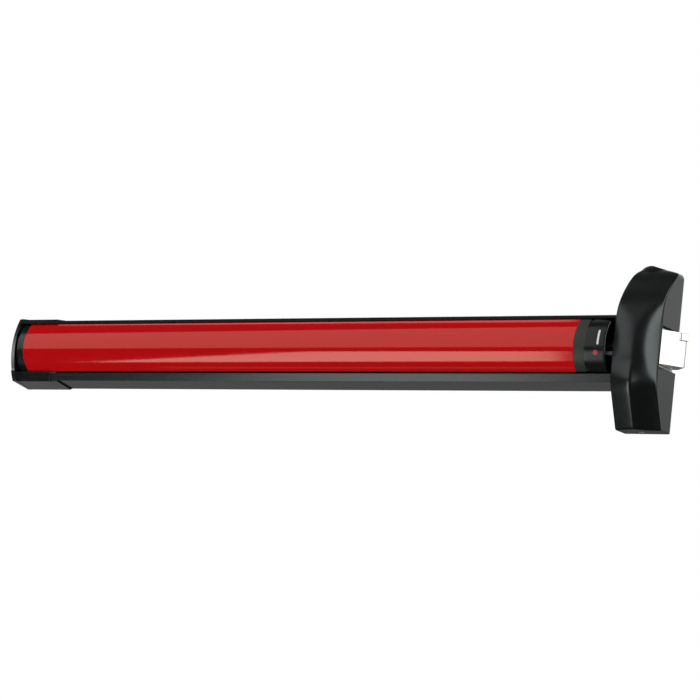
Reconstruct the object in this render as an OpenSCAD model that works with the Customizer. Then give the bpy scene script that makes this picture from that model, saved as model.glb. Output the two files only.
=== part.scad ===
// Touch-bar panic exit device with a rim latch.
// +X runs along the bar towards the latch, -Y faces the user, +Z is up.
// The door face is y = 0 and the origin is the centre of the lock's four fixing holes.

/* [Overall] */
// Distance from the lock centre to the outer face of the end cap
bar_reach = 814; // [600:1:1100]
// Travel of the push bar towards the door
bar_travel = 8; // [6:0.5:8]

/* [Rail] */
// Height of the rail at the door face
rail_h = 78.8; // [76:0.1:79]
// Height of the rail at its front edges
rail_front_h = 70; // [70:0.1:72]
// Depth of the rail from the door face
rail_d = 28.8; // [28:0.1:30]
// Wall thickness of the rail
rail_wall = 2; // [1.6:0.1:2]
// Height of the rail's upper front lip
rail_top_lip = 3.6; // [3:0.1:3.6]
// Height of the rail's lower front lip
rail_low_lip = 9.6; // [9:0.1:9.6]

/* [Push bar] */
// Height of the bar's centre line above the lock centre
bar_z = 3; // [2.8:0.1:3.2]
// Height of the push bar
bar_h = 55.4; // [54:0.1:55.4]
// Distance from the door face to the front of the bar at rest
bar_front = 39; // [38.5:0.1:39.5]
// Radius of the bar's curved front
bar_r = 40.4; // [40:0.1:42]
// Thickness of the coloured cover
bar_cover_t = 1.2; // [1:0.1:1.4]
// Thickness of the bar channel under the cover
bar_channel_t = 1.8; // [1.5:0.1:2]

/* [Lock cover] */
// Width of the lock cover
cover_w = 52.5; // [52:0.5:53]
// Distance from the lock centre down to the cover's flat bottom
cover_low = 83.3; // [83:0.1:86]
// Distance from the lock centre up to the top of the dome
cover_top = 92; // [91:0.1:93]
// Deepest point of the cover from the door face
cover_d = 47.5; // [47:0.1:49]
// Depth of the cover at its latch side
cover_side_d = 38.2; // [38:0.1:39]
// Depth of the cover at the side that faces the bar
cover_bar_d = 41.5; // [41:0.1:43]
// Wall thickness of the cover
cover_t = 2.2; // [2:0.1:2.2]

/* [Latch] */
// How far the latch nose stands beyond the lock centre
latch_tip = 43; // [42:0.5:44]
// Height of the latch from its lower to its upper face
latch_h = 35; // [34:0.5:35]
// Travel of the auxiliary latch
aux_travel = 7.5; // [6:0.5:7.5]

/* [Fixings] */
// Diameter of the door fixing holes
fix_d = 5.5; // [4.5:0.1:6]
// Distance across between the lock's fixing holes
fix_x = 26; // [26:0.5:28]
// Distance up between the lock's fixing holes
fix_z = 124; // [122:1:126]
// Distance up between the end bracket's fixing holes
end_fix_z = 40; // [36:1:42]

/* [Hidden] */
$fn = 64;
gap = 0.3;
eps = 0.01;

// Cranks: the short arm follows the bar, the long arm draws the latch back.
arm_a = 12;
arm_b = 24;
arm_c = 10;
half_turn = asin(bar_travel / 2 / arm_a);
pivot_y = -13;
lock_pivot_x = -8;
end_pivot_x = 84 - bar_reach;
pin_a_x = -arm_a * (1 + cos(half_turn)) / 2;
pin_a_y = pivot_y - bar_travel / 2;
pin_b_y = pivot_y - arm_b * (1 + cos(half_turn)) / 2;
pin_b_x = lock_pivot_x + bar_travel;
pin_c_x = arm_c * bar_travel / 2 / arm_a;
pin_c_y = pivot_y - arm_c * cos(half_turn);
hub_r = 5;
pin_r = 3;
small_pin_r = 2;

// Stations along X.
cap_x = -bar_reach;
cap_wall = 6;
cap_len = 54;
cap_screw_y = -5.8;
rail_x0 = cap_x + 14;
rail_x1 = -20.5;
bar_x0 = cap_x + 7;
cover_x0 = bar_x0 + 10;
ring_x0 = -72.5;
right_cap_x0 = -60;
bar_x1 = -35.5;
side_l = -25.5;
side_r = side_l + cover_w;

// Inner levels, measured from the door face.
plate_t = 3;
tongue_front = -5;
rib_z = 11;
rib_t = 2;
channel_back = -17;
carrier_x = [end_pivot_x + pin_a_x, lock_pivot_x + pin_a_x];
carrier_foot_x = [end_pivot_x - 46, -96];
spring_x = [214 - bar_reach, -250];
buffer_x = [spring_x[0] + 100, spring_x[1] - 80];
spring_z = 21;
spring_seat_y = -24;
case_half = 22.5;
spring_post_z = 13;
spring_post_y = -26;
seat_x = -18;
head_rear = 14;
step_x = 37.5;
aux_y = [-17, -5];
aux_z = [10.3, 17.5];

// ---- helpers ----

// An outline given as [y, z] points, drawn out along X from x0 to x1.
module along_x(x0, x1) {
    translate([x0, 0, 0]) rotate([90, 0, 90]) linear_extrude(x1 - x0) children();
}

// An outline given as [x, -y] points, drawn up from z0 to z1.
module along_z(z0, z1) {
    translate([0, 0, z0]) linear_extrude(z1 - z0) children();
}

// An outline given as [x, z] points, drawn from the door face forward by depth.
module along_y(depth) {
    rotate([90, 0, 0]) linear_extrude(depth) children();
}

// A block between two corners.
module block(a, b) {
    translate(a) cube(b - a);
}

// A round bar along Y, Z or X starting at p.
module rod_y(p, r, len) {
    translate(p) rotate([90, 0, 0]) cylinder(r = r, h = len);
}

module rod_z(p, r, len) {
    translate(p) cylinder(r = r, h = len);
}

module rod_x(p, r, len) {
    translate(p) rotate([0, 90, 0]) cylinder(r = r, h = len);
}

// Points of an arc about c from angle a0 to a1.
function arc(c, r, a0, a1, n) =
    [for (i = [0 : n]) c + r * [cos(a0 + (a1 - a0) * i / n), sin(a0 + (a1 - a0) * i / n)]];

// A helical wire from z = 0 to z = len, with flat closed turns left out.
module coil(r, wire, len, turns) {
    steps = 10;
    sides = 6;
    rings = turns * steps;
    function wire_point(i, j) =
        let (t = 360 * i / steps, q = 360 * j / sides, rr = r + wire / 2 * cos(q))
        [rr * cos(t), rr * sin(t), wire / 2 + (len - wire) * i / rings + wire / 2 * sin(q)];
    points = [for (i = [0 : rings]) for (j = [0 : sides - 1]) wire_point(i, j)];
    walls = [
        for (i = [0 : rings - 1]) for (j = [0 : sides - 1])
        let (a = i * sides, b = a + sides, k = (j + 1) % sides)
        each [[a + j, b + j, b + k], [a + j, b + k, a + k]]
    ];
    start = [[for (j = [0 : sides - 1]) j]];
    finish = [[for (j = [0 : sides - 1]) rings * sides + sides - 1 - j]];
    polyhedron(points, concat(walls, start, finish));
}

// ---- the fixed rail and its ends ----

// Outer outline of the rail, grown by g on its sloping sides and its front.
module rail_outline(g = 0) {
    polygon([
        [0, -rail_h / 2 - g], [0, rail_h / 2 + g],
        [-rail_d - g, rail_front_h / 2 + g], [-rail_d - g, -rail_front_h / 2 - g]
    ]);
}

// The mouth between the rail's two front lips.
module rail_mouth() {
    low = -rail_front_h / 2 + rail_low_lip;
    high = rail_front_h / 2 - rail_top_lip;
    polygon([[-rail_d - 20, low], [-rail_d + 10, low], [-rail_d + 10, high], [-rail_d - 20, high]]);
}

module base_rail() {
    color([0.13, 0.14, 0.14]) difference() {
        along_x(rail_x0, rail_x1) difference() {
            rail_outline();
            polygon([
                [-rail_wall, -rail_h / 2 + rail_wall], [-rail_wall, rail_h / 2 - rail_wall],
                [-rail_d + rail_wall, rail_front_h / 2 - rail_wall],
                [-rail_d + rail_wall, -rail_front_h / 2 + rail_wall]
            ]);
            rail_mouth();
        }
        end_fixing_holes();
        rail_screw_holes();
    }
}

module end_fixing_holes() {
    for (s = [-1, 1]) rod_y([rail_x0 + 20, 1, s * end_fix_z / 2], fix_d / 2, 10);
}

rail_screw_places = [[-50, 20], [-50, -20], [rail_x0 + 58, 20], [rail_x0 + 58, -20]];

module rail_screw_holes() {
    for (p = rail_screw_places) rod_y([p[0], 1, p[1]], 2.05, 10);
}

module rail_screws() {
    color("silver") for (p = rail_screw_places) {
        rod_y([p[0], -0.2, p[1]], 2, -tongue_front);
        rod_y([p[0], tongue_front, p[1]], 3.5, 2);
    }
}

module end_bracket() {
    x = end_pivot_x;
    color([0.7, 0.71, 0.73]) difference() {
        union() {
            block([rail_x0 - 4, tongue_front, -26], [x + 18, -rail_wall, 26]);
            block([rail_x0 - 4, -12, -10], [rail_x0 - 1, tongue_front + 1, 10]);
            block([x - 6, pivot_y - 6, 5.3], [x + 8, tongue_front + 1, 7.3]);
            block([x - 6, pivot_y - 6, -9.3], [x + 8, tongue_front + 1, -7.3]);
        }
        end_fixing_holes();
        rail_screw_holes();
        rod_z([x, pivot_y, -20], pin_r, 40);
        rod_x([rail_x0 - 5, cap_screw_y, 0], 2.05, 6);
        block([x - 17, tongue_front - 1, -7], [x - 6, -3, 7]);
    }
}

module end_cap() {
    t = 1.3;
    // the end wall's front is an arc, as far out as the bar at its middle
    half = 36.8;
    rise = 10.9;
    r = (half * half + rise * rise) / (2 * rise);
    color([0.05, 0.05, 0.055]) difference() {
        union() {
            along_x(cap_x + cap_wall, cap_x + cap_len) difference() {
                rail_outline(t);
                rail_outline(0.1);
                rail_mouth();
            }
            intersection() {
                along_x(cap_x, cap_x + cap_wall) polygon([
                    [0, -rail_h / 2 - t], [0, rail_h / 2 + t],
                    [-27, rail_front_h / 2 + t], [-45, 20], [-45, -20],
                    [-rail_d - t, -rail_front_h / 2 - t]
                ]);
                along_x(cap_x, cap_x + cap_wall) translate([r - bar_front + 0.1, 0]) circle(r = r, $fn = 128);
            }
            // tongue under the rail's lower flank
            intersection() {
                along_x(cap_x + cap_len - eps, cap_x + cap_len + 9.5) difference() {
                    rail_outline(t);
                    rail_outline(0.1);
                }
                block([cap_x, -rail_d + 1, -rail_h], [0, 0, -rail_front_h / 2 - 0.2]);
            }
            rod_x([cap_x + cap_wall, cap_screw_y, 0], 4, rail_x0 - 4 - cap_x - cap_wall);
        }
        rod_x([cap_x - 1, cap_screw_y, 0], 2.05, 20);
        rod_x([cap_x - 1, cap_screw_y, 0], 3.8, 3.2);
    }
}

module end_cap_screw() {
    color("silver") {
        rod_x([cap_x + 2.2, cap_screw_y, 0], 2, 12);
        rod_x([cap_x + 0.4, cap_screw_y, 0], 3.6, 1.8);
    }
}

module bar_buffers() {
    front = channel_back + bar_travel + gap;
    color([0.07, 0.07, 0.07]) for (x = buffer_x) difference() {
        block([x - 15, front, -26], [x + 15, -rail_wall, -15]);
        rod_y([x, front + 3, -20.5], 3, 10);
    }
}

// ---- the fixed lock case ----

module lock_case() {
    color([0.72, 0.73, 0.75]) difference() {
        union() {
            block([-20, -plate_t, -76], [23, 0, 75]);
            block([-62, tongue_front, -26], [-20, -rail_wall, 26]);
            block([-20.2, tongue_front, -26], [-16, 0, 26]);
            for (s = [-1, 1]) {
                z = s > 0 ? case_half - 2 : -case_half;
                along_z(z, z + 2) polygon([
                    [-20, -1], [-20, -30], [-14, -41], [4, -41], [20, -34], [23, -34], [23, -1]
                ]);
                block([seat_x - 2, -31, s > 0 ? 8.5 : -case_half], [seat_x, -1, s > 0 ? case_half : -8.5]);
            }
            block([-8, -15, -79], [8, -1, -76]);
        }
        block([-4, -10, -case_half + 2], [30, 1, case_half - 2]);
        block([lock_pivot_x - 17, tongue_front - 1, -7], [lock_pivot_x - 6, -3, 7]);
        for (sx = [-1, 1]) for (sz = [-1, 1])
            rod_y([sx * fix_x / 2, 1, sz * fix_z / 2], fix_d / 2, 10);
        for (p = rail_screw_places) rod_y([p[0], 1, p[1]], 2.05, 10);
        rod_z([lock_pivot_x, pivot_y, -40], pin_r, 80);
        for (s = [-1, 1]) rod_x([seat_x - 4, spring_post_y, s * spring_post_z], 1.6, 8);
        rod_z([0, -9, -90], 2.05, 20);
    }
}

module latch_guides() {
    color([0.85, 0.84, 0.78]) for (z = [[-20.4, -latch_h / 2], [latch_h / 2 + 1, 20.4]])
        block([2.2, -33, z[0]], [23.4, -0.5, z[1]]);
}

// Depth of the cover's front at height z: an arc above, a shallow curve to a straight fall below.
dome_r = 107.3;
function dome(z) = z > 0
    ? cover_d - dome_r + sqrt(dome_r * dome_r - z * z)
    : z > -26
        ? cover_d - 0.00237 * z * z
        : cover_d - 1.6 + 0.463 * (z + 26);

// Depth of the cover's front across its width: a ridge that falls away to both sides.
ridge_x = -4;
function roll(x) = x < ridge_x
    ? cover_bar_d + (cover_d - cover_bar_d) * cos(90 * (ridge_x - x) / (ridge_x - side_l))
    : cover_side_d + (cover_d - cover_side_d) * cos(90 * (x - ridge_x) / (side_r - ridge_x));

module dome_outline(t) {
    low = -cover_low + t;
    high = cover_top - t;
    n = 26;
    polygon(concat(
        [[0, low]],
        [for (i = [0 : n]) let (z = low + (high - low) * i / n) [t - max(dome(z), t + 2), z]],
        [[0, high]]
    ));
}

module roll_outline(t) {
    x0 = side_l + t;
    x1 = side_r - t;
    n = 20;
    polygon(concat(
        [[x0, 0]],
        [for (i = [0 : n]) let (x = x0 + (x1 - x0) * i / n) [x, t - roll(x)]],
        [[x1, 0]]
    ));
}

module cover_outline(t) {
    top_l = [side_l + 14, cover_top - 14];
    shoulder = [side_r - 7, cover_top - 16];
    polygon(concat(
        [[side_l + t, -cover_low + t], [side_r - t, -cover_low + t]],
        arc(shoulder, 7 - t, 0, 64, 6),
        arc(top_l, 14 - t, 70, 180, 8)
    ));
}

module cover_block(t) {
    intersection() {
        along_x(side_l + t, side_r - t) dome_outline(t);
        along_z(-cover_low + t, cover_top - t) roll_outline(t);
        along_y(cover_d) cover_outline(t);
    }
}

module lock_cover() {
    color([0.07, 0.075, 0.08]) difference() {
        cover_block(0);
        translate([0, eps, 0]) cover_block(cover_t);
        // way through the left wall for the rail
        along_x(side_l - 1, side_l + cover_t + 1) union() {
            rail_outline(gap);
            tongue_way();
        }
        // notch in the latch side
        block([side_r - cover_t - 1, -36.5, -20.8], [side_r + 1, 1, 21.8]);
        rod_z([0, -9, -cover_low - 1], 2.05, 5);
        rod_z([0, -9, -cover_low - 1], 3.6, 2);
    }
}

// The rail's section cut through the wall, open at the door face.
module tongue_way() {
    polygon([[1, -rail_h / 2 - gap], [1, rail_h / 2 + gap], [-1, rail_h / 2 + gap], [-1, -rail_h / 2 - gap]]);
}

module cover_screw() {
    color("silver") {
        rod_z([0, -9, -cover_low + 1], 2, 8);
        rod_z([0, -9, -cover_low + 0.1], 3.5, 0.9);
    }
}

module spring_posts() {
    color("silver") for (s = [-1, 1])
        rod_x([seat_x - 2, spring_post_y, s * spring_post_z], 1.55, 16);
}

module end_crank_pin() {
    color([0.75, 0.76, 0.78]) {
        rod_z([end_pivot_x, pivot_y, -11.3], pin_r - 0.02, 19.6);
        rod_z([end_pivot_x, pivot_y, 7.4], pin_r + 1.2, 1.3);
    }
}

module lock_crank_pin() {
    color([0.75, 0.76, 0.78]) {
        rod_z([lock_pivot_x, pivot_y, -case_half - 2], pin_r - 0.02, 2 * case_half + 3);
        rod_z([lock_pivot_x, pivot_y, case_half + 0.1], pin_r + 1.2, 1.5);
    }
}

module pin_clips() {
    color([0.35, 0.35, 0.37]) for (p = [[end_pivot_x, -10.4], [lock_pivot_x, -case_half - 1.1]])
        difference() {
            rod_z([p[0], pivot_y, p[1]], pin_r + 1.6, 0.8);
            rod_z([p[0], pivot_y, p[1] - 1], pin_r, 3);
            block([p[0] - 1, pivot_y - 9, p[1] - 1], [p[0] + 1, pivot_y, p[1] + 2]);
        }
}

// ---- the push bar ----

// The bar's outline inset by t, from its curved front back to its open rear.
module bar_outline(t, back) {
    intersection() {
        polygon([
            [back, bar_z - bar_h / 2 + t], [back, bar_z + bar_h / 2 - t],
            [-bar_front - 5, bar_z + bar_h / 2 - t], [-bar_front - 5, bar_z - bar_h / 2 + t]
        ]);
        translate([bar_r - bar_front, bar_z]) circle(r = bar_r - t, $fn = 160);
    }
}

module bar_channel() {
    t0 = bar_cover_t + 0.05;
    t1 = t0 + bar_channel_t;
    color([0.6, 0.61, 0.63]) difference() {
        along_x(bar_x0 + 2, bar_x1 - 14) {
            difference() {
                bar_outline(t0, channel_back);
                bar_outline(t1, channel_back + 1);
            }
            intersection() {
                bar_outline(t0, -22);
                polygon([[-22, rib_z], [-45, rib_z], [-45, rib_z + rib_t], [-22, rib_z + rib_t]]);
            }
        }
        for (x = carrier_foot_x) for (dx = [6, 18]) rod_z([x + dx, -28, 0], 2.05, 20);
    }
}

module bar_skin(x0, x1, t0, t1, back) {
    along_x(x0, x1) difference() {
        bar_outline(t0, back);
        bar_outline(t1, back + 1);
    }
}

module bar_cover() {
    color([0.68, 0.03, 0.04]) bar_skin(cover_x0, ring_x0 - 0.05, 0, bar_cover_t, -24);
}

module bar_left_cap() {
    color([0.05, 0.05, 0.055]) {
        bar_skin(bar_x0 + 2, cover_x0 - 0.05, 0, bar_cover_t, -20);
        along_x(bar_x0, bar_x0 + 2) bar_outline(0, -18.5);
    }
}

module bar_trim_ring() {
    color([0.09, 0.1, 0.08]) bar_skin(ring_x0, right_cap_x0 - 0.05, 0, bar_cover_t, -22);
}

module bar_right_cap() {
    slant = 8;
    color([0.05, 0.05, 0.055]) difference() {
        along_x(right_cap_x0, bar_x1) bar_outline(0, -18);
        along_x(right_cap_x0 - 1, bar_x1 - 2.5) bar_outline(bar_cover_t, -17);
        // slot in the closed end for the tongue and the link rod
        block([bar_x1 - 4, -34.5, -9], [bar_x1 + 1, -10, 9]);
        // the upper edge falls away towards the lock
        translate([right_cap_x0 + 4, 0, bar_z + bar_h / 2]) rotate([0, slant, 0])
            block([0, -50, 0], [40, 10, 10]);
    }
}

// Bracket from the bar's rib to one crank's fork; tongue reaches to x1.
module carrier(x0, x1) {
    difference() {
        union() {
            block([x0, -33, 3.2], [x0 + 24, -20.5, rib_z - 0.02]);
            block([x0 + 4, -28, 3.2], [x1 + 3.2, pin_a_y + 3, 6]);
        }
        block([x0 + 24, -40, 0], [x1 + 10, pin_a_y - 3.2, 8]);
        rod_z([x1, pin_a_y, 0], small_pin_r, 8);
        for (dx = [6, 18]) rod_z([x0 + dx, -28, 0], 2.05, 20);
    }
}

module left_carrier() {
    color([0.7, 0.71, 0.73]) carrier(carrier_foot_x[0], carrier_x[0]);
}

module right_carrier() {
    color([0.7, 0.71, 0.73]) carrier(carrier_foot_x[1], carrier_x[1]);
}

module carrier_pin(x) {
    rod_z([x, pin_a_y, -2.5], small_pin_r - 0.02, 9.3);
    rod_z([x, pin_a_y, 6.1], small_pin_r + 1, 0.9);
}

module left_carrier_pin() {
    color("silver") carrier_pin(carrier_x[0]);
}

module right_carrier_pin() {
    color("silver") carrier_pin(carrier_x[1]);
}

module carrier_screws() {
    color("silver") for (x = carrier_foot_x) for (dx = [6, 18]) {
        rod_z([x + dx, -28, 3.2], 2, rib_z + rib_t);
        rod_z([x + dx, -28, 1.4], 3.2, 1.8);
    }
}

module spring_seats() {
    color([0.2, 0.2, 0.21]) for (x = spring_x) difference() {
        block([x - 12, spring_seat_y - 3, rib_z + rib_t + 0.05], [x + 12, spring_seat_y, 27]);
        rod_y([x, spring_seat_y + 1, spring_z], 3, 2);
    }
}

module return_springs() {
    color("silver") for (x = spring_x)
        translate([x, -rail_wall - 0.1, spring_z]) rotate([90, 0, 0])
            coil(4.4, 1.2, -spring_seat_y - rail_wall - 0.2, 6);
}

// ---- cranks and link rod ----

// A bell crank at rest: fork arm towards -X, pull arm towards -Y with the rod hole.
module crank(pull) {
    difference() {
        union() {
            rod_z([0, 0, -5], hub_r, 10);
            rotate([0, 0, half_turn]) block([-15, -4.4, -2.3], [0, 4.4, 2.3]);
            rotate([0, 0, half_turn]) block([-4.2, -pull, -2.3], [4.2, 0, 2.3]);
        }
        rod_z([0, 0, -10], pin_r + 0.05, 20);
        rotate([0, 0, half_turn]) {
            rod_z([-arm_a + 1.3, 0, -10], small_pin_r + 0.4, 20);
            block([-20, -small_pin_r - 0.4, -10], [-arm_a + 1.3, small_pin_r + 0.4, 10]);
            rod_z([0, -arm_c, -10], small_pin_r + 0.05, 20);
        }
    }
}

module end_crank() {
    color([0.78, 0.74, 0.6]) translate([end_pivot_x, pivot_y, 0]) crank(14);
}

module lock_crank() {
    color([0.78, 0.74, 0.6]) difference() {
        translate([lock_pivot_x, pivot_y, 0]) crank(arm_b + 4);
        translate([lock_pivot_x, pivot_y, 0]) rotate([0, 0, half_turn]) {
            rod_z([0, -arm_b + 1.8, -10], small_pin_r + 0.4, 20);
            block([-small_pin_r - 0.4, -arm_b - 6, -10], [small_pin_r + 0.4, -arm_b + 1.8, 10]);
        }
    }
}

module link_rod() {
    x = [end_pivot_x + pin_c_x, lock_pivot_x + pin_c_x];
    color([0.75, 0.76, 0.78]) difference() {
        union() {
            block([x[0], pin_c_y - 3.3, -6.4], [x[1], pin_c_y + 3.3, -3]);
            for (e = x) rod_z([e, pin_c_y, -6.4], 3.3, 3.4);
        }
        for (e = x) block([e - small_pin_r - 0.05, pin_c_y - small_pin_r - 0.05, -10],
                          [e + small_pin_r + 0.05, pin_c_y + small_pin_r + 0.05, 0]);
    }
}

module rod_pins() {
    color("silver") for (x = [end_pivot_x + pin_c_x, lock_pivot_x + pin_c_x]) {
        rod_z([x, pin_c_y, -6.4], small_pin_r - 0.6, 9);
        rod_z([x, pin_c_y, -7], small_pin_r + 0.8, 0.55);
    }
}

// ---- the latch ----

module latch_bolt() {
    low = -latch_h / 2 + 0.4;
    high = latch_h / 2 + 0.6;
    color([0.86, 0.87, 0.88]) difference() {
        union() {
            along_z(low, high) polygon([
                [head_rear, -33.6], [24, -34], [latch_tip - 0.6, -13], [latch_tip - 0.6, -11.5],
                [30, -0.8], [head_rear, -0.8]
            ]);
            rod_z([latch_tip - 1.6, -12.2, low], 1.5, high - low);
            along_z(3.2, 7.2) polygon([
                [pin_b_x - 4, -40], [pin_b_x + 5, -40], [head_rear + 1, -36.5], [head_rear + 1, -20],
                [pin_b_x - 4, -20]
            ]);
        }
        // clearance for the cranks
        block([head_rear - 1, -50, -5.6], [19.5, 0, 2.9]);
        // upper corner cut back in front of the auxiliary latch
        block([step_x, -50, 9.7], [50, 1, 30]);
        // pocket for the auxiliary latch
        block([17, aux_y[0] - 0.1, aux_z[0] - 0.1], [50, aux_y[1] + 0.1, aux_z[1] + 0.1]);
        rod_z([pin_b_x, pin_b_y, -10], small_pin_r, 30);
    }
}

module latch_drive_pin() {
    color("silver") {
        rod_z([pin_b_x, pin_b_y, -2.3], small_pin_r - 0.02, 9.4);
        rod_z([pin_b_x, pin_b_y, 7.25], small_pin_r + 1, 0.8);
    }
}

module latch_springs() {
    color("silver") for (s = [-1, 1])
        translate([seat_x + 0.1, spring_post_y, s * spring_post_z]) rotate([0, 90, 0])
            coil(2.9, 0.8, head_rear - seat_x - 0.2, 9);
}

module aux_latch() {
    color([0.84, 0.85, 0.86]) difference() {
        block([28, aux_y[0], aux_z[0]], [44.5, aux_y[1], aux_z[1]]);
        translate([44.5, -12, 0]) rotate([0, 0, 40]) block([0, -30, 0], [20, 20, 30]);
        translate([44.5, -12, 0]) rotate([0, 0, -45]) block([0, -20, 0], [20, 30, 30]);
    }
}

module aux_spring() {
    color("silver") translate([17.1, (aux_y[0] + aux_y[1]) / 2, (aux_z[0] + aux_z[1]) / 2])
        rotate([0, 90, 0]) coil(2.2, 0.5, 10.8, 5);
}

base_rail();
end_bracket();
end_cap();
end_cap_screw();
rail_screws();
bar_buffers();
lock_case();
latch_guides();
lock_cover();
cover_screw();
spring_posts();
end_crank_pin();
lock_crank_pin();
pin_clips();
bar_channel();
bar_cover();
bar_left_cap();
bar_trim_ring();
bar_right_cap();
left_carrier();
right_carrier();
left_carrier_pin();
right_carrier_pin();
carrier_screws();
spring_seats();
return_springs();
end_crank();
lock_crank();
link_rod();
rod_pins();
latch_bolt();
latch_drive_pin();
latch_springs();
aux_latch();
aux_spring();
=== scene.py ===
"""A touch-bar panic exit device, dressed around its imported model."""
import math

import bmesh
import bpy
from mathutils import Matrix, Vector


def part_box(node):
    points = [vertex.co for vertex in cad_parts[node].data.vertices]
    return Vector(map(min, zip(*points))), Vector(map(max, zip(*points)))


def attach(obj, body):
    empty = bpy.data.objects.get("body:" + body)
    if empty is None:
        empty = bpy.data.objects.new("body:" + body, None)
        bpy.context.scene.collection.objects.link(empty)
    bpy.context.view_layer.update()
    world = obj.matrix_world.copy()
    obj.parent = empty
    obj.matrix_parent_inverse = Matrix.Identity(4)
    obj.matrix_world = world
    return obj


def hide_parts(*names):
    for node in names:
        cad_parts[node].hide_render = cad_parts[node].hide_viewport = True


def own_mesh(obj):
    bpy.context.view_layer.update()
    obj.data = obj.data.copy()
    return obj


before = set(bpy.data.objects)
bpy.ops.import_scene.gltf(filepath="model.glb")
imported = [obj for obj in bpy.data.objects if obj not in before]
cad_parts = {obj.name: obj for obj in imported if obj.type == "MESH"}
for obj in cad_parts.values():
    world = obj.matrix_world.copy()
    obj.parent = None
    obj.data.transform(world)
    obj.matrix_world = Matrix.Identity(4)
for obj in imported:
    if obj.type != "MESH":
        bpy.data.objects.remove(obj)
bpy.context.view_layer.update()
scene = bpy.context.scene
MM = 0.001


# ---- Camera ---------------------------------------------------------------
# A long lens stands to the right of the bar and a little below it, and is turned slightly,
# so that the bar runs level across the frame.
view_azimuth = math.radians(34)
view_elevation = math.radians(-10.04)
view_roll = math.radians(6.5)
view_distance = 3.319
aim = Vector((-0.3776, 0.0095, 0.0071))

level_right = Vector((math.cos(view_azimuth), math.sin(view_azimuth), 0))
forward = Vector((
    -math.sin(view_azimuth) * math.cos(view_elevation),
    math.cos(view_azimuth) * math.cos(view_elevation),
    -math.sin(view_elevation),
))
turn = Matrix.Rotation(-view_roll, 3, forward)
right = turn @ level_right
up = turn @ level_right.cross(forward)
camera = bpy.data.objects.new("camera", bpy.data.cameras.new("camera"))
scene.collection.objects.link(camera)
camera.matrix_world = Matrix.Translation(aim - forward * view_distance) @ Matrix(
    (right, up, -forward)
).transposed().to_4x4()
camera.data.sensor_width = 36
camera.data.lens = 156.6
camera.data.clip_end = 60
scene.camera = camera
scene.view_settings.view_transform = "Standard"


# ---- Floor and soft light ---------------------------------------------------
# A plain white studio: a pale floor a metre below the bar, an even white surround, and
# glowing sheets that only the gloss of the device picks up.
class Wire:
    """A shader socket that can stand in a sum, a product or a comparison."""

    def __init__(self, finish, socket):
        self.finish, self.socket = finish, socket

    def math(self, operation, *values):
        settings = {"operation": operation}
        inputs = dict(enumerate((self, *values)))
        return self.finish.node("ShaderNodeMath", settings, inputs)

    def __add__(self, other):
        return self.math("ADD", other)

    def __mul__(self, other):
        return self.math("MULTIPLY", other)

    def __sub__(self, other):
        return self.math("SUBTRACT", other)

    def __rsub__(self, other):
        return self * -1 + other

    def __gt__(self, other):
        return self.math("GREATER_THAN", other)

    __radd__ = __add__
    __rmul__ = __mul__


class Finish:
    """A material or world whose nodes are added one at a time."""

    def __init__(self, name, owner=None):
        self.data = owner or bpy.data.materials.new(name)
        self.data.use_nodes = True
        self.tree = self.data.node_tree
        self.shader = self.tree.nodes.get("Principled BSDF") or self.tree.nodes.get("Background")

    def node(self, kind, settings=None, inputs=None, out=0):
        made = self.tree.nodes.new(kind)
        for key, value in (settings or {}).items():
            if key == "stops":
                stops = made.color_ramp.elements
                while len(stops) < len(value):
                    stops.new(1)
                for stop, (place, colour) in zip(stops, value):
                    stop.position = place
                    stop.color = (*colour, 1)
            else:
                setattr(made, key, value)
        self.fill(made, inputs or {})
        return Wire(self, made.outputs[out])

    def fill(self, made, inputs):
        for key, value in inputs.items():
            if isinstance(value, Wire):
                self.tree.links.new(value.socket, made.inputs[key])
            elif isinstance(value, tuple) and made.inputs[key].type == "RGBA":
                made.inputs[key].default_value = (*value, 1)
            else:
                made.inputs[key].default_value = value

    def look(self, **inputs):
        """Sets the shader's own sockets: names are the sockets' names with _ for a space."""
        self.fill(self.shader, {key.replace("_", " "): value for key, value in inputs.items()})
        return self

    def place(self, stretch):
        """Object coordinates, drawn out along the axes."""
        at = self.node("ShaderNodeTexCoord", out="Object")
        return self.node("ShaderNodeMapping", None, {"Vector": at, "Scale": stretch})

    def grain(self, scale, detail=3.0, stretch=(1, 1, 1)):
        """Noise with grains 1 / scale metres across."""
        inputs = {"Vector": self.place(stretch), "Scale": scale, "Detail": detail, "Roughness": 0.5}
        return self.node("ShaderNodeTexNoise", None, inputs, "Fac")

    def tint(self, amount, low, high):
        """A colour that goes from low to high with amount."""
        stops = [(0.0, low), (1.0, high)]
        return self.node("ShaderNodeValToRGB", {"stops": stops}, {"Fac": amount}, "Color")

    def bump(self, height, depth, strength=1.0):
        inputs = {"Height": height, "Distance": depth, "Strength": strength}
        return self.node("ShaderNodeBump", None, inputs, "Normal")


world = Finish("studio", bpy.data.worlds.new("studio"))
scene.world = world.data
seen = world.node("ShaderNodeLightPath", out="Is Camera Ray")
scattered = world.node("ShaderNodeLightPath", out="Is Diffuse Ray")
in_gloss, more_when_seen, more_when_scattered = 0.04, 0.96, 0.92
world.look(
    Color=(1.0, 1.0, 1.0),
    Strength=in_gloss + seen * more_when_seen + scattered * more_when_scattered,
)


def sheet_light(name, corners, radiance):
    """A glowing sheet that shows only as a reflection in gloss."""
    bm = bmesh.new()
    bm.faces.new([bm.verts.new(corner) for corner in corners])
    mesh = bpy.data.meshes.new(name)
    bm.to_mesh(mesh)
    bm.free()
    sheet = bpy.data.objects.new(name, mesh)
    scene.collection.objects.link(sheet)
    glow = Finish(name + "_glow")
    glow.look(Base_Color=(0.0, 0.0, 0.0), Emission_Color=(1.0, 1.0, 1.0), Emission_Strength=radiance)
    mesh.materials.append(glow.data)
    sheet.visible_camera = False
    sheet.visible_diffuse = False
    sheet.visible_shadow = False


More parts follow.
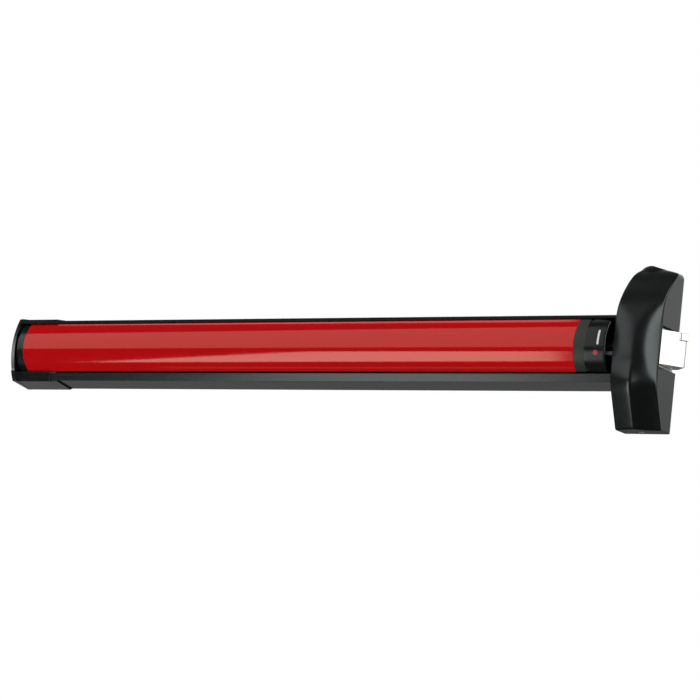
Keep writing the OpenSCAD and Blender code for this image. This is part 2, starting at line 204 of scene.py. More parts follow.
def curved_light(name, low_edge, high_edge, radiance, radius=1.5, strips=12):
    """A sheet bent round the bar's length. Each edge is (x, angle above level) at its two ends."""
    for i in range(strips):
        corners = []
        for along, share in ((0, i), (1, i), (1, i + 1), (0, i + 1)):
            x0, low_angle = low_edge[along]
            x1, high_angle = high_edge[along]
            t = share / strips
            angle = math.radians(low_angle + (high_angle - low_angle) * t)
            corners.append((x0 + (x1 - x0) * t, -radius * math.cos(angle), radius * math.sin(angle)))
        sheet_light(f"{name}_{i + 1}", corners, radiance)


curved_light("upper_light", ((-2.15, 3), (-0.84, 2)), ((-2.15, 53), (-0.84, 65.5)), 0.90, strips=8)
curved_light("lower_light", ((-1.86, -42), (-0.915, -40)), ((-1.40, -9.5), (-0.915, -11.5)), 3.3, strips=6)
curved_light("overhead_light", ((-2.15, 92), (-0.9, 85)), ((-2.15, 105), (-0.9, 101)), 1.1, strips=2)
curved_light("under_light", ((-1.70, -63), (-0.9, -63)), ((-1.70, -58), (-0.9, -58)), 0.35, strips=1)
curved_light("front_light", ((0.28, -14), (0.95, -14)), ((-0.42, 78), (0.60, 78)), 2.9, strips=8)
# The two left lights stand edge-on to the lock, so that its left side doesn't reflect them.
near, far = (-1.30, -0.388), (-3.20, -0.900)
for name, near_low, near_high, far_low, far_high, radiance in (
    ("left_light_low", -0.25, -0.03, -1.00, -0.12, 2.6),
    ("left_light", -0.03, 0.40, -0.12, 1.60, 4.2),
):
    corners = [(*near, near_low), (*far, far_low), (*far, far_high), (*near, near_high)]
    sheet_light(name, corners, radiance)
curved_light("side_light", ((0.9, -28), (3.2, -28)), ((0.9, 40), (3.2, 40)), 1.7, radius=0.9, strips=3)
back_x0, back_x1, back_y = -5, 2.6, 1.5
for name, low_z, high_z, radiance in (
    ("low_backdrop", -1.6, -0.52, 0.31),
    ("mid_backdrop", -0.20, 0.30, 0.55),
    ("backdrop", 0.30, 2.4, 0.85),
):
    corners = [(back_x0, back_y, low_z), (back_x1, back_y, low_z),
               (back_x1, back_y, high_z), (back_x0, back_y, high_z)]
    sheet_light(name, corners, radiance)

floor_z = -1.0
floor_half = 20
bm = bmesh.new()
bmesh.ops.create_grid(bm, x_segments=1, y_segments=1, size=floor_half)
bmesh.ops.translate(bm, verts=bm.verts, vec=(0, 0, floor_z))
floor_mesh = bpy.data.meshes.new("floor")
bm.to_mesh(floor_mesh)
bm.free()
floor = bpy.data.objects.new("floor", floor_mesh)
scene.collection.objects.link(floor)
floor.visible_glossy = False
screed = Finish("pale_floor")
screed.look(
    Base_Color=screed.tint(screed.grain(2.0, 6), (0.84, 0.84, 0.83), (0.90, 0.90, 0.89)),
    Roughness=0.6,
)
floor_mesh.materials.append(screed.data)


# ---- Base rail ---------------------------------------------------------------
# One length of extruded aluminium, black anodised: a trapezoid channel that lies flat on the
# door, with two front lips that frame the push bar and fall back a little to its corners.
def arc(centre, radius, start, stop, steps):
    """Points of an arc, with its angles in degrees."""
    angles = [math.radians(start + (stop - start) * i / steps) for i in range(steps + 1)]
    return [(centre[0] + radius * math.cos(a), centre[1] + radius * math.sin(a)) for a in angles]


def drawn_out(outline, x0, x1):
    """A bmesh of an outline of (y, z) points in millimetres, drawn out along X."""
    bm = bmesh.new()
    face = bm.faces.new([bm.verts.new((x0 * MM, y * MM, z * MM)) for y, z in outline])
    grown = bmesh.ops.extrude_face_region(bm, geom=[face])["geom"]
    moved = [g for g in grown if isinstance(g, bmesh.types.BMVert)]
    bmesh.ops.translate(bm, verts=moved, vec=((x1 - x0) * MM, 0, 0))
    bmesh.ops.recalc_face_normals(bm, faces=bm.faces)
    return bm


def copied(node, flats=True):
    """A copy of a CAD node's mesh with its points merged, and each flat face made one."""
    bm = bmesh.new()
    bm.from_mesh(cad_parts[node].data)
    bmesh.ops.remove_doubles(bm, verts=bm.verts, dist=2e-6)
    if flats:
        bmesh.ops.dissolve_limit(bm, angle_limit=math.radians(1.0), verts=bm.verts, edges=bm.edges)
    return bm


def eased(bm, width, steps=2, sharper=40, edges=None):
    """Rounds edges: the ones given, or all that turn more than an angle in degrees."""
    limit = math.radians(sharper)
    if edges is None:
        edges = [e for e in bm.edges if e.is_manifold and e.calc_face_angle(0) > limit]
    bmesh.ops.bevel(
        bm, geom=edges, offset=width * MM, segments=steps, profile=0.5,
        affect="EDGES", material=-1, clamp_overlap=True,
    )
    return bm


def joined(*parts):
    """One bmesh that holds all the parts."""
    whole = parts[0]
    for part in parts[1:]:
        passing = bpy.data.meshes.new("passing")
        part.to_mesh(passing)
        part.free()
        whole.from_mesh(passing)
        bpy.data.meshes.remove(passing)
    return whole


def piece(name, bm, body, finish, replaced=(), smooth=35):
    """Turns a bmesh into a piece that rides on a body and stands for CAD nodes."""
    mesh = bpy.data.meshes.new(name)
    bm.to_mesh(mesh)
    bm.free()
    mesh.shade_smooth()
    mesh.set_sharp_from_angle(angle=math.radians(smooth))
    made = bpy.data.objects.new(name, mesh)
    scene.collection.objects.link(made)
    mesh.materials.append(finish.data)
    even = made.modifiers.new("even_shade", "WEIGHTED_NORMAL")
    even.keep_sharp = True
    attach(made, body)
    if replaced:
        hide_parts(*replaced)
    return made


anodised = Finish("black_anodised")
draw_lines = anodised.grain(900, 4, (0.004, 1, 1))
anodised.look(
    Base_Color=anodised.tint(anodised.grain(60, 5), (0.0050, 0.0068, 0.0064), (0.0090, 0.0115, 0.0108)),
    Roughness=0.17 + draw_lines * 0.10,
    Specular_IOR_Level=0.49,
    Specular_Tint=(0.92, 1.0, 0.98),
    Normal=anodised.bump(draw_lines, 0.00003, 0.5),
)

rail_low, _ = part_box("base_rail")
rail_x0 = rail_low.x / MM
rail_half, rail_front_half, rail_depth = 39.4, 35.0, 28.8
corner_zone = 2.2
lip_low, lip_high = -25.4, 31.4
lip_fall, lip_drop = 2.2, 1.2
bm = copied("base_rail")
for v in bm.verts:
    y, z = v.co.y / MM, v.co.z / MM
    if y < -rail_depth + corner_zone:
        if abs(z) > rail_front_half - corner_zone:
            v.co.y += lip_fall * MM
        elif z < 0:
            v.co.z -= lip_drop * MM
bmesh.ops.recalc_face_normals(bm, faces=bm.faces)
eased(bm, 0.4, edges=[e for e in bm.edges if e.calc_length() > 500 * MM])
piece("rail", bm, "base", anodised, ("base_rail",))


# ---- Push bar cover ------------------------------------------------------------
# The part that a hand or a hip presses: a thin curved cover in gloss red, drawn out in one
# length and clipped over the aluminium channel behind it.
bar_z, bar_half, bar_front, bar_radius = 3.0, 27.7, 39.0, 40.4
bar_centre = (bar_radius - bar_front, bar_z)


def bar_front_curve(depth):
    """The bar's curved front, some depth under its surface, from top to bottom."""
    radius = bar_radius - depth
    reach = math.degrees(math.asin((bar_half - depth) / radius))
    return arc(bar_centre, radius, 180 - reach, 180 + reach, 72)


def bar_shell(inner, outer, back):
    """Outline of a curved shell between two depths under the bar's surface."""
    front = [(back, bar_z + bar_half - outer), *bar_front_curve(outer), (back, bar_z - bar_half + outer)]
    rear = [(back, bar_z + bar_half - inner), *bar_front_curve(inner), (back, bar_z - bar_half + inner)]
    return front + rear[::-1]


def curled(bm, end_x, amount):
    """Moves one end of a bar shell along X, more and more towards its lower edge."""
    straight = 6
    for v in bm.verts:
        low = max(0.0, (bar_z - straight - v.co.z / MM) / (bar_half - straight))
        if abs(v.co.x - end_x) < 1e-6:
            v.co.x += amount * MM * min(low, 1.0) ** 1.5


gloss_red = Finish("gloss_red")
peel = gloss_red.grain(260, 2)
specks = gloss_red.grain(1400, 2) > 0.74
gloss_red.look(
    Base_Color=gloss_red.tint(gloss_red.grain(35, 4), (0.485, 0.0010, 0.0032), (0.520, 0.0016, 0.0045)),
    Roughness=0.06 + gloss_red.grain(90, 4) * 0.05 + specks * 0.06,
    Specular_Tint=(1.8, 1.0, 0.85),
    Normal=gloss_red.bump(peel, 0.000012, 0.4),
)

cover_low, cover_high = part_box("bar_cover")
bm = drawn_out(bar_shell(1.2, 0.0, -24), cover_low.x / MM, cover_high.x / MM)
curled(bm, cover_low.x, 3.6)
eased(bm, 0.25)
piece("red_cover", bm, "push_bar", gloss_red, ("bar_cover",))


# ---- Bar end caps and trim ring ----------------------------------------------
# Injection-moulded black plastic. The left cap closes the bar beside the end wall; at the
# right a narrow ring meets the red cover and a longer cap closes the bar beside the lock.
moulded = Finish("moulded_black")
stipple = moulded.grain(2600, 2)
moulded.look(
    Base_Color=moulded.tint(moulded.grain(70, 5), (0.0022, 0.0032, 0.0028), (0.0048, 0.0064, 0.0058)),
    Roughness=0.15 + moulded.grain(140, 4) * 0.08,
    Specular_IOR_Level=0.65,
    Specular_Tint=(0.92, 1.0, 0.98),
    Normal=moulded.bump(stipple, 0.000015, 0.5),
)
ring_black = Finish("ring_black")
ring_black.look(
    Base_Color=ring_black.tint(ring_black.grain(90, 4), (0.018, 0.022, 0.015), (0.028, 0.033, 0.024)),
    Roughness=0.34 + ring_black.grain(160, 3) * 0.12,
    Normal=ring_black.bump(ring_black.grain(2600, 2), 0.00002, 0.5),
)

left_low, left_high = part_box("bar_left_cap")
left_x0, left_x1 = left_low.x / MM, left_high.x / MM
plate_back, plate_thick = -18.5, 2.0
plate_outline = [(plate_back, bar_z + bar_half), *bar_front_curve(0), (plate_back, bar_z - bar_half)]
plate = drawn_out(plate_outline, left_x0, left_x0 + plate_thick)
outer_rim = [e for e in plate.edges if all(abs(v.co.x - left_low.x) < 1e-6 for v in e.verts)]
eased(plate, 1.4, 4, edges=outer_rim)
skirt = drawn_out(bar_shell(1.2, 0.0, plate_back), left_x0 + plate_thick - 0.05, left_x1)
curled(skirt, left_high.x, 3.55)
piece("left_bar_cap", joined(plate, skirt), "push_bar", moulded, ("bar_left_cap",))

ring_low, ring_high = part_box("bar_trim_ring")
bm = drawn_out(bar_shell(1.2, 0.1, -22), ring_low.x / MM, ring_high.x / MM)
eased(bm, 0.3)
spigot = drawn_out(bar_shell(2.2, 1.25, -22), ring_high.x / MM - 0.5, ring_high.x / MM + 7)
piece("trim_ring", joined(bm, spigot), "push_bar", ring_black, ("bar_trim_ring",))

right_low, right_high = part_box("bar_right_cap")
right_x0, right_x1 = right_low.x / MM, right_high.x / MM
right_back = -18.0
end_thick, way_half, way_front = 2.5, 9.0, -34.5
end_plate = [
    (right_back, bar_z + bar_half), *bar_front_curve(0), (right_back, bar_z - bar_half),
    (right_back, -way_half), (way_front, -way_half), (way_front, way_half), (right_back, way_half),
]
end_wall = drawn_out(end_plate, right_x1 - end_thick, right_x1)
shell = drawn_out(bar_shell(1.2, 0.0, right_back), right_x0, right_x1 - end_thick + 0.05)
fall_start, fall_angle = right_x0 + 4, math.radians(8)
for part in (end_wall, shell):
    bmesh.ops.bisect_plane(
        part, geom=part.verts[:] + part.edges[:] + part.faces[:], dist=1e-7,
        plane_co=(fall_start * MM, 0, (bar_z + bar_half) * MM),
        plane_no=(math.sin(fall_angle), 0, math.cos(fall_angle)), clear_outer=True,
    )
    bmesh.ops.holes_fill(part, edges=[e for e in part.edges if e.is_boundary])
corner_reach, corner_share = 5.0, 0.38
for v in shell.verts:
    if abs(v.co.x - right_low.x) < 1e-6:
        off = min(abs(v.co.z / MM - bar_z) / bar_half, 1.0)
        v.co.x += corner_reach * MM * max(0.0, (off - 1 + corner_share) / corner_share) ** 2
outer_rim = [e for e in end_wall.edges if e.is_manifold and e.calc_face_angle(0) > 0.6
             and all(abs(v.co.x - right_high.x) < 1e-6 and v.co.y < -20 * MM for v in e.verts)]
eased(end_wall, 0.9, 3, edges=outer_rim)
piece("right_bar_cap", joined(end_wall, shell), "push_bar", moulded, ("bar_right_cap",))


# ---- Mark on the right cap -------------------------------------------------------
# A plain pad-printed mark: a white upright stroke and a red dot, a few hundredths of a
# millimetre of ink on the cap's curved face.
def printed(width, height, x, z):
    """A flat shape with round ends laid on the bar's curved front."""
    bm = bmesh.new()
    bmesh.ops.create_grid(bm, x_segments=4, y_segments=24, size=0.5)
    end = width / 2
    straight = height / 2 - end
    reach = bar_radius + 0.03
    for v in bm.verts:
        up = v.co.y * height
        over = max(abs(up) - straight, 0.0)
        half = math.sqrt(max(end * end - over * over, 0.0))
        turned = math.asin((z + up - bar_z) / bar_radius)
        v.co = (
            (x + 2 * v.co.x * half) * MM,
            (bar_centre[0] - reach * math.cos(turned)) * MM,
            (bar_z + reach * math.sin(turned)) * MM,
        )
    bmesh.ops.remove_doubles(bm, verts=bm.verts, dist=1e-6)
    bmesh.ops.recalc_face_normals(bm, faces=bm.faces)
    if sum(f.normal.y for f in bm.faces) > 0:
        bmesh.ops.reverse_faces(bm, faces=bm.faces)
    return bm


white_ink = Finish("white_ink")
white_ink.look(
    Base_Color=white_ink.tint(white_ink.grain(900, 4), (0.62, 0.62, 0.62), (0.80, 0.80, 0.80)),
    Roughness=0.35 + white_ink.grain(700, 3) * 0.2,
)
red_ink = Finish("red_ink")
red_ink.look(
    Base_Color=red_ink.tint(red_ink.grain(900, 4), (0.30, 0.010, 0.035), (0.42, 0.020, 0.055)),
    Roughness=0.35 + red_ink.grain(700, 3) * 0.2,
)
piece("mark_stroke", printed(2.2, 16.0, -44.4, 9.5), "push_bar", white_ink)
piece("mark_dot", printed(5.6, 5.6, -46.6, -6.6), "push_bar", red_ink)


# ---- End cap ---------------------------------------------------------------------
# A black moulding that sleeves over the rail's left end. Its end wall stands as far forward
# as the bar and bulges like it, so nothing can catch behind the bar. One screw holds it.
def worked(bm, kind, **settings):
    """A bmesh's shape after one modifier."""
    mesh = bpy.data.meshes.new("working")
    bm.to_mesh(mesh)
    bm.free()
    holder = bpy.data.objects.new("working", mesh)
    scene.collection.objects.link(holder)
    step = holder.modifiers.new("step", kind)
    for key, value in settings.items():
        setattr(step, key, value)
    finished = holder.evaluated_get(bpy.context.evaluated_depsgraph_get())
    shaped = bpy.data.meshes.new_from_object(finished)
    after = bmesh.new()
    after.from_mesh(shaped)
    bpy.data.objects.remove(holder)
    bpy.data.meshes.remove(mesh)
    bpy.data.meshes.remove(shaped)
    return after


def bored(bm, start, end, radius):
    """Cuts a round hole between two points given in millimetres."""
    start, end = Vector(start) * MM, Vector(end) * MM
    drill = bmesh.new()
    bmesh.ops.create_cone(
        drill, cap_ends=True, segments=40, radius1=radius * MM, radius2=radius * MM,
        depth=(end - start).length,
    )
    aimed = (end - start).to_track_quat("Z", "Y").to_matrix().to_4x4()
    bmesh.ops.transform(drill, matrix=Matrix.Translation((start + end) / 2) @ aimed, verts=drill.verts)
    mesh = bpy.data.meshes.new("drill")
    drill.to_mesh(mesh)
    drill.free()
    cutter = bpy.data.objects.new("drill", mesh)
    scene.collection.objects.link(cutter)
    cut = worked(bm, "BOOLEAN", operation="DIFFERENCE", object=cutter, solver="EXACT")
    bpy.data.objects.remove(cutter)
    bpy.data.meshes.remove(mesh)
    return cut


cap_low, cap_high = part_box("end_cap")
cap_x0, cap_x1 = cap_low.x / MM, cap_high.x / MM
cap_wall, cap_grow, cap_gap = 6.0, 1.3, 0.1
sleeve_end = cap_x0 + 54
bulge, bulge_z = 75.0, 2.0
bulge_centre = (bulge - 40.3, bulge_z)
reach_up = math.degrees(math.asin((rail_front_half + cap_grow - bulge_z) / bulge))
reach_down = math.degrees(math.asin((rail_front_half - 3.0 + bulge_z) / bulge))
wall_outline = [
    (0, rail_half + cap_grow),
    *arc(bulge_centre, bulge, 180 - reach_up, 180 + reach_down, 40),
    (-rail_depth - cap_grow, -rail_front_half - cap_grow), (0, -rail_half - cap_grow),
]
wall = drawn_out(wall_outline, cap_x0, cap_x0 + cap_wall)
front_taper = 1.4
for v in wall.verts:
    if v.co.x < cap_low.x + 1e-6 and v.co.y < -20 * MM and v.co.z > lip_low * MM:
        v.co.y += front_taper * MM
outer_rim = [e for e in wall.edges if all(abs(v.co.x - cap_low.x) < 1e-6 for v in e.verts)
             and any(v.co.y < -1 * MM for v in e.verts)]
eased(wall, 0.7, 3, edges=outer_rim)
screw_y, head_depth, head_radius = -5.8, 2.2, 3.8
wall = bored(wall, (cap_x0 - 1, screw_y, 0), (cap_x0 + head_depth, screw_y, 0), head_radius)
for side in (1, -1):
    lip = lip_high if side > 0 else lip_low
    rear_grow = 0.5 if side > 0 else cap_grow
    outside = side * (rail_front_half + cap_grow)
    inside = side * (rail_front_half + cap_gap)
    sleeve = drawn_out([
        (0, side * (rail_half + cap_gap)), (0, side * (rail_half + rear_grow)),
        (-rail_depth - cap_grow + lip_fall, outside), (-rail_depth - cap_grow, lip),
        (-rail_depth - cap_gap, lip), (-rail_depth - cap_gap + lip_fall, inside),
    ], cap_x0 + cap_wall - 0.5, sleeve_end)
    eased(sleeve, 0.5, 3)
    wall = joined(wall, sleeve)
tongue_front = -rail_depth + 2.0
tongue = drawn_out([
    (0, -rail_half - cap_gap), (0, -rail_half - cap_grow),
    (tongue_front, -rail_front_half - cap_grow), (tongue_front, -rail_front_half - cap_gap),
], cap_x0 + cap_wall, cap_x1)
eased(tongue, 0.3)
web = drawn_out([(-1, -rail_half), (0, -rail_half), (0, rail_half), (-1, rail_half)],
                cap_x0 + cap_wall - 0.5, rail_x0 - 0.2)
finger_front, finger_back, finger_low, finger_high = -26.6, -25.5, -27.5, -24.95
finger = drawn_out([
    (finger_front, finger_low), (finger_front, finger_high),
    (finger_back, finger_high), (finger_back, finger_low),
], cap_x0 + cap_wall - 0.5, sleeve_end + 5.5)
piece("end_cap_shell", joined(wall, tongue, web, finger), "base", moulded, ("end_cap",))

# Painted shade: a thin near-black strip set in the joint between the end cap and the rail. Its dark colour
# stands in for the shadow line along that joint.
shade_strip = Finish("shade_strip_black")
shade_strip.look(
    Base_Color=shade_strip.tint(shade_strip.grain(300, 4), (0.002, 0.002, 0.002), (0.005, 0.005, 0.005)),
    Roughness=0.75 + shade_strip.grain(500, 3) * 0.2,
    Specular_IOR_Level=0.2,
)
shade_strip_front = -rail_depth + 2.4
bm = drawn_out([
    (-0.5, -rail_half - 0.05), (-0.5, -rail_half - 0.8),
    (shade_strip_front, -rail_front_half - 0.9), (shade_strip_front, -rail_front_half - 0.1),
], cap_x1 - 0.2, cap_x1 + 2.4)
eased(bm, 0.2)
piece("cap_shade_strip", bm, "base", shade_strip)


# ---- Lock cover --------------------------------------------------------------------
# A die-cast cover in black satin enamel that hides the lock. Its front is a soft dome with a
# ridge that runs down it and sharpens below the bar, and its right side is cut away for the latch.
satin_black = Finish("satin_black")
mottle = satin_black.grain(60, 5)
satin_black.look(
    Base_Color=satin_black.tint(mottle, (0.0020, 0.0030, 0.0028), (0.0042, 0.0058, 0.0054)),
    Roughness=0.20 + satin_black.grain(120, 4) * 0.06,
    Specular_IOR_Level=0.66,
    Specular_Tint=(0.90, 1.0, 0.99),
    Normal=satin_black.bump(satin_black.grain(1500, 3), 0.00002, 0.5),
)

lock_low, lock_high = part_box("lock_cover")
side_l, side_r = lock_low.x / MM, lock_high.x / MM
top_z, bottom_z, lock_depth = lock_high.z / MM, lock_low.z / MM, -lock_low.y / MM
side_depth, bar_side_depth = 38.2, 41.5
dome_radius = 107.3
ridge_x, ridge_rise = 0.0, 6.6
lock_wall = 2.2


def soft_least(a, b, width):
    """The smaller of two numbers, with a soft turn from one to the other."""
    share = max(0.0, min(1.0, 0.5 + 0.5 * (b - a) / width))
    return b * (1 - share) + a * share - width * share * (1 - share)


def dome(z):
    """How far the cover's front stands out at a height: an arc above, and a fall below."""
    if z > 0:
        return lock_depth - dome_radius + math.sqrt(dome_radius ** 2 - z ** 2)
    return soft_least(lock_depth - 0.0014 * z ** 2, lock_depth + 10.44 + 0.463 * z, 10.0)


def smooth_step(value):
    """0 up to 0, 1 from 1 on, and smooth between."""
    held = max(0.0, min(1.0, value))
    return held * held * (3 - 2 * held)


def front_depth(x, z):
    """How far the cover stands out at a point of its front."""
    crease = smooth_step((12 - z) / 34)
    past = max(0.0, x - ridge_x) / (side_r - ridge_x)
    before = max(0.0, ridge_x - x) / (ridge_x - side_l)
    straight = (math.hypot(before, 0.1) - 0.1) / (math.hypot(1, 0.1) - 0.1)
    round_right = 1 - math.cos(math.pi / 2 * past)
    round_left = 1 - math.cos(math.pi / 2 * before)
    right_fall = (lock_depth - side_depth) * (round_right + 0.15 * crease * (past - round_right))
    left_fall = (lock_depth - bar_side_depth) * (round_left + crease * (straight - round_left))
    rise = ridge_rise * smooth_step((-14 - z) / 26)
    body = dome(z) + rise * (1 - straight) * (1 - past) ** 2
    return soft_least(body, lock_depth - right_fall - left_fall, 5.0)


low_l_round, low_r_round, top_r_round, top_l_round = 2.0, 1.2, 7, 14
top_r_drop = 16
lock_outline = [
    *arc((side_l + low_l_round, bottom_z + low_l_round), low_l_round, 180, 270, 4),
    *arc((side_r - low_r_round, bottom_z + low_r_round), low_r_round, 270, 360, 3),
    *arc((side_r - top_r_round, top_z - top_r_drop), top_r_round, 0, 64, 8),
    *arc((side_l + top_l_round, top_z - top_l_round), top_l_round, 70, 180, 16),
]
blank_depth = 60
bm = bmesh.new()
front = bm.faces.new([bm.verts.new((x * MM, 0, z * MM)) for x, z in lock_outline])
grown = bmesh.ops.extrude_face_region(bm, geom=[front])["geom"]
moved = [g for g in grown if isinstance(g, bmesh.types.BMVert)]
bmesh.ops.translate(bm, verts=moved, vec=(0, -blank_depth * MM, 0))
back = [f for f in bm.faces if all(v.co.y > -1e-6 for v in f.verts)]
bmesh.ops.delete(bm, geom=back, context="FACES")
bmesh.ops.recalc_face_normals(bm, faces=bm.faces)
front = [f for f in bm.faces if all(v.co.y < (1 - blank_depth) * MM for v in f.verts)]
rim_steps = [0.0, 0.1, 0.35, 0.7, 1.15, 1.7]
for inner, outer in zip(rim_steps[1:], rim_steps):
    bmesh.ops.inset_region(bm, faces=front, thickness=(inner - outer) * MM, use_even_offset=True)


def cut_across(part, faces, point, normal):
    """Cuts faces along a plane, and keeps both sides."""
    inside = set(faces)
    edges = {e for f in inside for e in f.edges}
    verts = {v for f in inside for v in f.verts}
    bmesh.ops.bisect_plane(
        part, geom=[*verts, *edges, *inside], dist=1e-6,
        plane_co=[c * MM for c in point], plane_no=normal,
    )


columns, column_gap = 25, 2
rows, row_gap = 70, 2.5
for column in range(1, columns + 1):
    front = [f for f in bm.faces if f.normal.y < -0.5]
    cut_across(bm, front, (side_l + column_gap * column, 0, 0), (1, 0, 0))
for row in range(1, rows + 1):
    cut_across(bm, bm.faces, (0, 0, bottom_z + row_gap * row), (0, 0, 1))


def rim_distance(x, z):
    """How far a point of the front lies inside the cover's outline."""
    least = 1e9
    for (x0, z0), (x1, z1) in zip(lock_outline, lock_outline[1:] + lock_outline[:1]):
        dx, dz = x1 - x0, z1 - z0
        t = max(0.0, min(1.0, ((x - x0) * dx + (z - z0) * dz) / (dx * dx + dz * dz)))
        least = min(least, math.hypot(x - x0 - t * dx, z - z0 - t * dz))
    return least


for v in bm.verts:
    if v.co.y < -blank_depth / 2 * MM:
        x, z = v.co.x / MM, v.co.z / MM
        rim_round = 1.6 if x < 12 else 1.0
        inside = min(rim_distance(x, z), rim_round)
        drop = rim_round - math.sqrt(max(rim_round ** 2 - (rim_round - inside) ** 2, 0.0))
        v.co.y = -max(front_depth(x, z) - drop, lock_wall - 0.5 * drop) * MM

notch_low, notch_high, notch_front = -20.8, 21.8, -36.5
way_gap = 0.3
rail_lean = (rail_half - rail_front_half) / rail_depth


def flank(part, side):
    """The faces of the cover's right side, 1, or of its left side, -1."""
    return [f for f in part.faces if side * f.normal.x > 0.9]


def in_notch(face):
    """Whether a face of the right side is where the latch comes out."""
    middle = face.calc_center_median() / MM
    return middle.y > notch_front and notch_low < middle.z < notch_high


def in_rail_way(face):
    """Whether a face of the left side is where the rail goes in."""
    middle = face.calc_center_median() / MM
    return middle.y > -rail_depth - way_gap and abs(middle.z) < rail_half + way_gap + middle.y * rail_lean


for point, normal in (
    ((0, 0, notch_low), (0, 0, 1)), ((0, 0, notch_high), (0, 0, 1)), ((0, notch_front, 0), (0, 1, 0)),
):
    cut_across(bm, flank(bm, 1), point, normal)
bmesh.ops.delete(bm, context="FACES", geom=[f for f in flank(bm, 1) if in_notch(f)])
for point, normal in (
    ((0, 0, rail_half + way_gap), (0, rail_lean, 1)),
    ((0, 0, -rail_half - way_gap), (0, -rail_lean, 1)),
    ((0, -rail_depth - way_gap, 0), (0, 1, 0)),
):
    cut_across(bm, flank(bm, -1), point, normal)
bmesh.ops.delete(bm, context="FACES", geom=[f for f in flank(bm, -1) if in_rail_way(f)])
bm = worked(bm, "SOLIDIFY", thickness=lock_wall * MM, offset=-1)
screw_y, head_depth, head_radius = -9, 1.0, 3.6
bm = bored(bm, (0, screw_y, bottom_z - 1), (0, screw_y, bottom_z + head_depth), head_radius)
piece("lock_shell", bm, "base", satin_black, ("lock_cover",), 40)


# ---- Latch -------------------------------------------------------------------------
# A heavy sintered steel bolt, nickel plated and polished, with one slanted face that meets the
# strike first. The small sprung piece above it is pressed in by the strike on a shut door.
nickel = Finish("bright_nickel")
nickel_lines = nickel.grain(500, 4, (1, 1, 0.01))
nickel.look(
    Base_Color=nickel.tint(nickel.grain(80, 4), (0.78, 0.77, 0.75), (0.88, 0.87, 0.85)),
    Metallic=1.0,
    Roughness=0.16 + nickel_lines * 0.10,
    Normal=nickel.bump(nickel_lines, 0.00001, 0.4),
)


def softened(node, width, steps=2):
    """A copy of a CAD node with its edges eased."""
    bm = copied(node)
    bmesh.ops.recalc_face_normals(bm, faces=bm.faces)
    return eased(bm, width, steps, 30)


bm = softened("latch_bolt", 0.5, 3)
piece("latch_body", bm, "latch", nickel, ("latch_bolt",))
bm = softened("aux_latch", 0.35)
piece("latch_helper", bm, "auxiliary_latch", nickel, ("aux_latch",))


# ---- Lock case, brackets and cranks --------------------------------------------------
# Pressed steel plate: the case behind the cover, the bracket behind the end cap and the bar's
# carriers are plated in black zinc, the two bell cranks in yellow, the rod between them in bright.
def made_like(node, body, finish, width=0.25):
    """A piece with the shape of a CAD node and its edges eased."""
    piece(node + "_made", softened(node, width), body, finish, (node,))


zinc = Finish("zinc_plate")
spangle = zinc.grain(220, 5)
zinc.look(
    Base_Color=zinc.tint(spangle, (0.46, 0.47, 0.48), (0.66, 0.67, 0.69)),
    Metallic=0.9,
    Roughness=0.28 + spangle * 0.22,
    Normal=zinc.bump(zinc.grain(1200, 3), 0.00001, 0.4),
)
black_zinc = Finish("black_zinc")
dark_spangle = black_zinc.grain(220, 5)
black_zinc.look(
    Base_Color=black_zinc.tint(dark_spangle, (0.035, 0.036, 0.038), (0.075, 0.076, 0.080)),
    Metallic=0.5,
    Roughness=0.36 + dark_spangle * 0.2,
    Normal=black_zinc.bump(black_zinc.grain(1200, 3), 0.00001, 0.4),
)
yellow_zinc = Finish("yellow_zinc")
yellow_zinc.look(
    Base_Color=yellow_zinc.tint(yellow_zinc.grain(150, 5), (0.52, 0.40, 0.16), (0.66, 0.56, 0.30)),
    Metallic=0.9,
    Roughness=0.30 + yellow_zinc.grain(220, 4) * 0.2,
)

for node, body in (
    ("lock_case", "base"), ("end_bracket", "base"),
    ("left_carrier", "push_bar"), ("right_carrier", "push_bar"),
):
    made_like(node, body, black_zinc)
made_like("end_crank", "end_bell_crank", yellow_zinc)
made_like("lock_crank", "lock_bell_crank", yellow_zinc)
made_like("link_rod", "rod", zinc, 0.4)


# ---- Bar channel -----------------------------------------------------------------------
# The bar's hidden back: an aluminium extrusion left as it comes from the die. The red cover
# snaps over it, and screws fix the two carriers in it.
mill_aluminium = Finish("mill_aluminium")
mill_lines = mill_aluminium.grain(900, 4, (0.004, 1, 1))
mill_aluminium.look(
    Base_Color=mill_aluminium.tint(mill_lines, (0.60, 0.61, 0.63), (0.74, 0.75, 0.77)),
    Metallic=0.95,
    Roughness=0.30 + mill_lines * 0.2,
)
made_like("bar_channel", "push_bar", mill_aluminium)


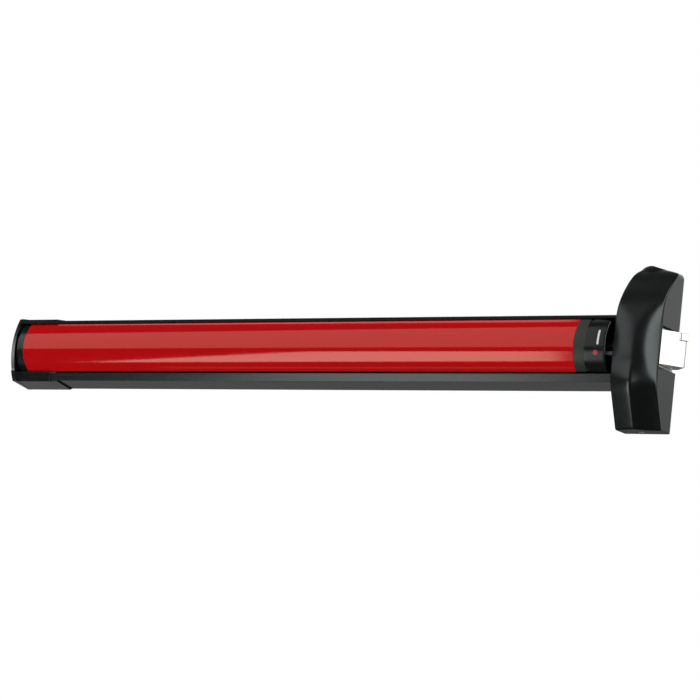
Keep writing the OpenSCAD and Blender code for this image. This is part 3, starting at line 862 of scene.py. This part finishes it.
# ---- Guides, spring seats and buffers ----------------------------------------------------
# Small moulded parts: natural nylon strips that the latch slides on, nylon seats for the
# return springs, and the rubber buffers that quieten the bar at the end of its travel.
nylon = Finish("nylon")
nylon.look(
    Base_Color=nylon.tint(nylon.grain(120, 4), (0.66, 0.64, 0.56), (0.76, 0.74, 0.67)),
    Roughness=0.42 + nylon.grain(500, 3) * 0.15,
)
soft_rubber = Finish("soft_rubber")
soft_rubber.look(
    Base_Color=soft_rubber.tint(soft_rubber.grain(300, 4), (0.012, 0.012, 0.012), (0.024, 0.024, 0.024)),
    Roughness=0.7 + soft_rubber.grain(500, 3) * 0.2,
)
made_like("latch_guides", "base", nylon, 0.3)
made_like("spring_seats", "push_bar", nylon, 0.3)
made_like("bar_buffers", "base", soft_rubber, 0.6)


# ---- Springs -----------------------------------------------------------------------------
# Compression springs coiled from steel wire. Two push the bar out, two throw the latch and a
# small one throws the piece above it.
spring_steel = Finish("spring_steel")
spring_steel.look(
    Base_Color=spring_steel.tint(spring_steel.grain(300, 4), (0.30, 0.30, 0.31), (0.44, 0.44, 0.46)),
    Metallic=1.0,
    Roughness=0.28 + spring_steel.grain(800, 3) * 0.15,
)
along_x, along_y = 0, 1
for node, body, joint, axis, travel in (
    ("return_springs", "push_bar", "bar_press", along_y, 8.0),
    ("latch_springs", "latch", "latch_retract", along_x, 16.0),
    ("aux_spring", "auxiliary_latch", "aux_latch_press", along_x, 7.5),
):
    coil = copied(node, flats=False)
    made = piece(node + "_made", coil, body, spring_steel, (node,), 50)
    along = Vector((0, 0, 0))
    along[axis] = 1
    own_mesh(made)


# ---- Pins, screws and clips ----------------------------------------------------------------
# Bought-in parts in bright steel: the screws of the rail, cap, cover and carriers, the posts
# inside the latch springs, and the cranks' ground pins, which spring-steel clips hold in place.
screw_steel = Finish("screw_steel")
screw_steel.look(
    Base_Color=screw_steel.tint(screw_steel.grain(400, 4), (0.50, 0.50, 0.52), (0.66, 0.66, 0.68)),
    Metallic=1.0,
    Roughness=0.25 + screw_steel.grain(600, 3) * 0.2,
)
carried = {
    screw_steel: ("end_cap_screw", "rail_screws", "cover_screw", "carrier_screws", "end_crank_pin",
                  "lock_crank_pin", "left_carrier_pin", "right_carrier_pin", "rod_pins",
                  "latch_drive_pin", "spring_posts"),
    spring_steel: ("pin_clips",),
}
for finish, names in carried.items():
    for name in names:
        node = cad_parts[name]
        node.data.materials.clear()
        node.data.materials.append(finish.data)
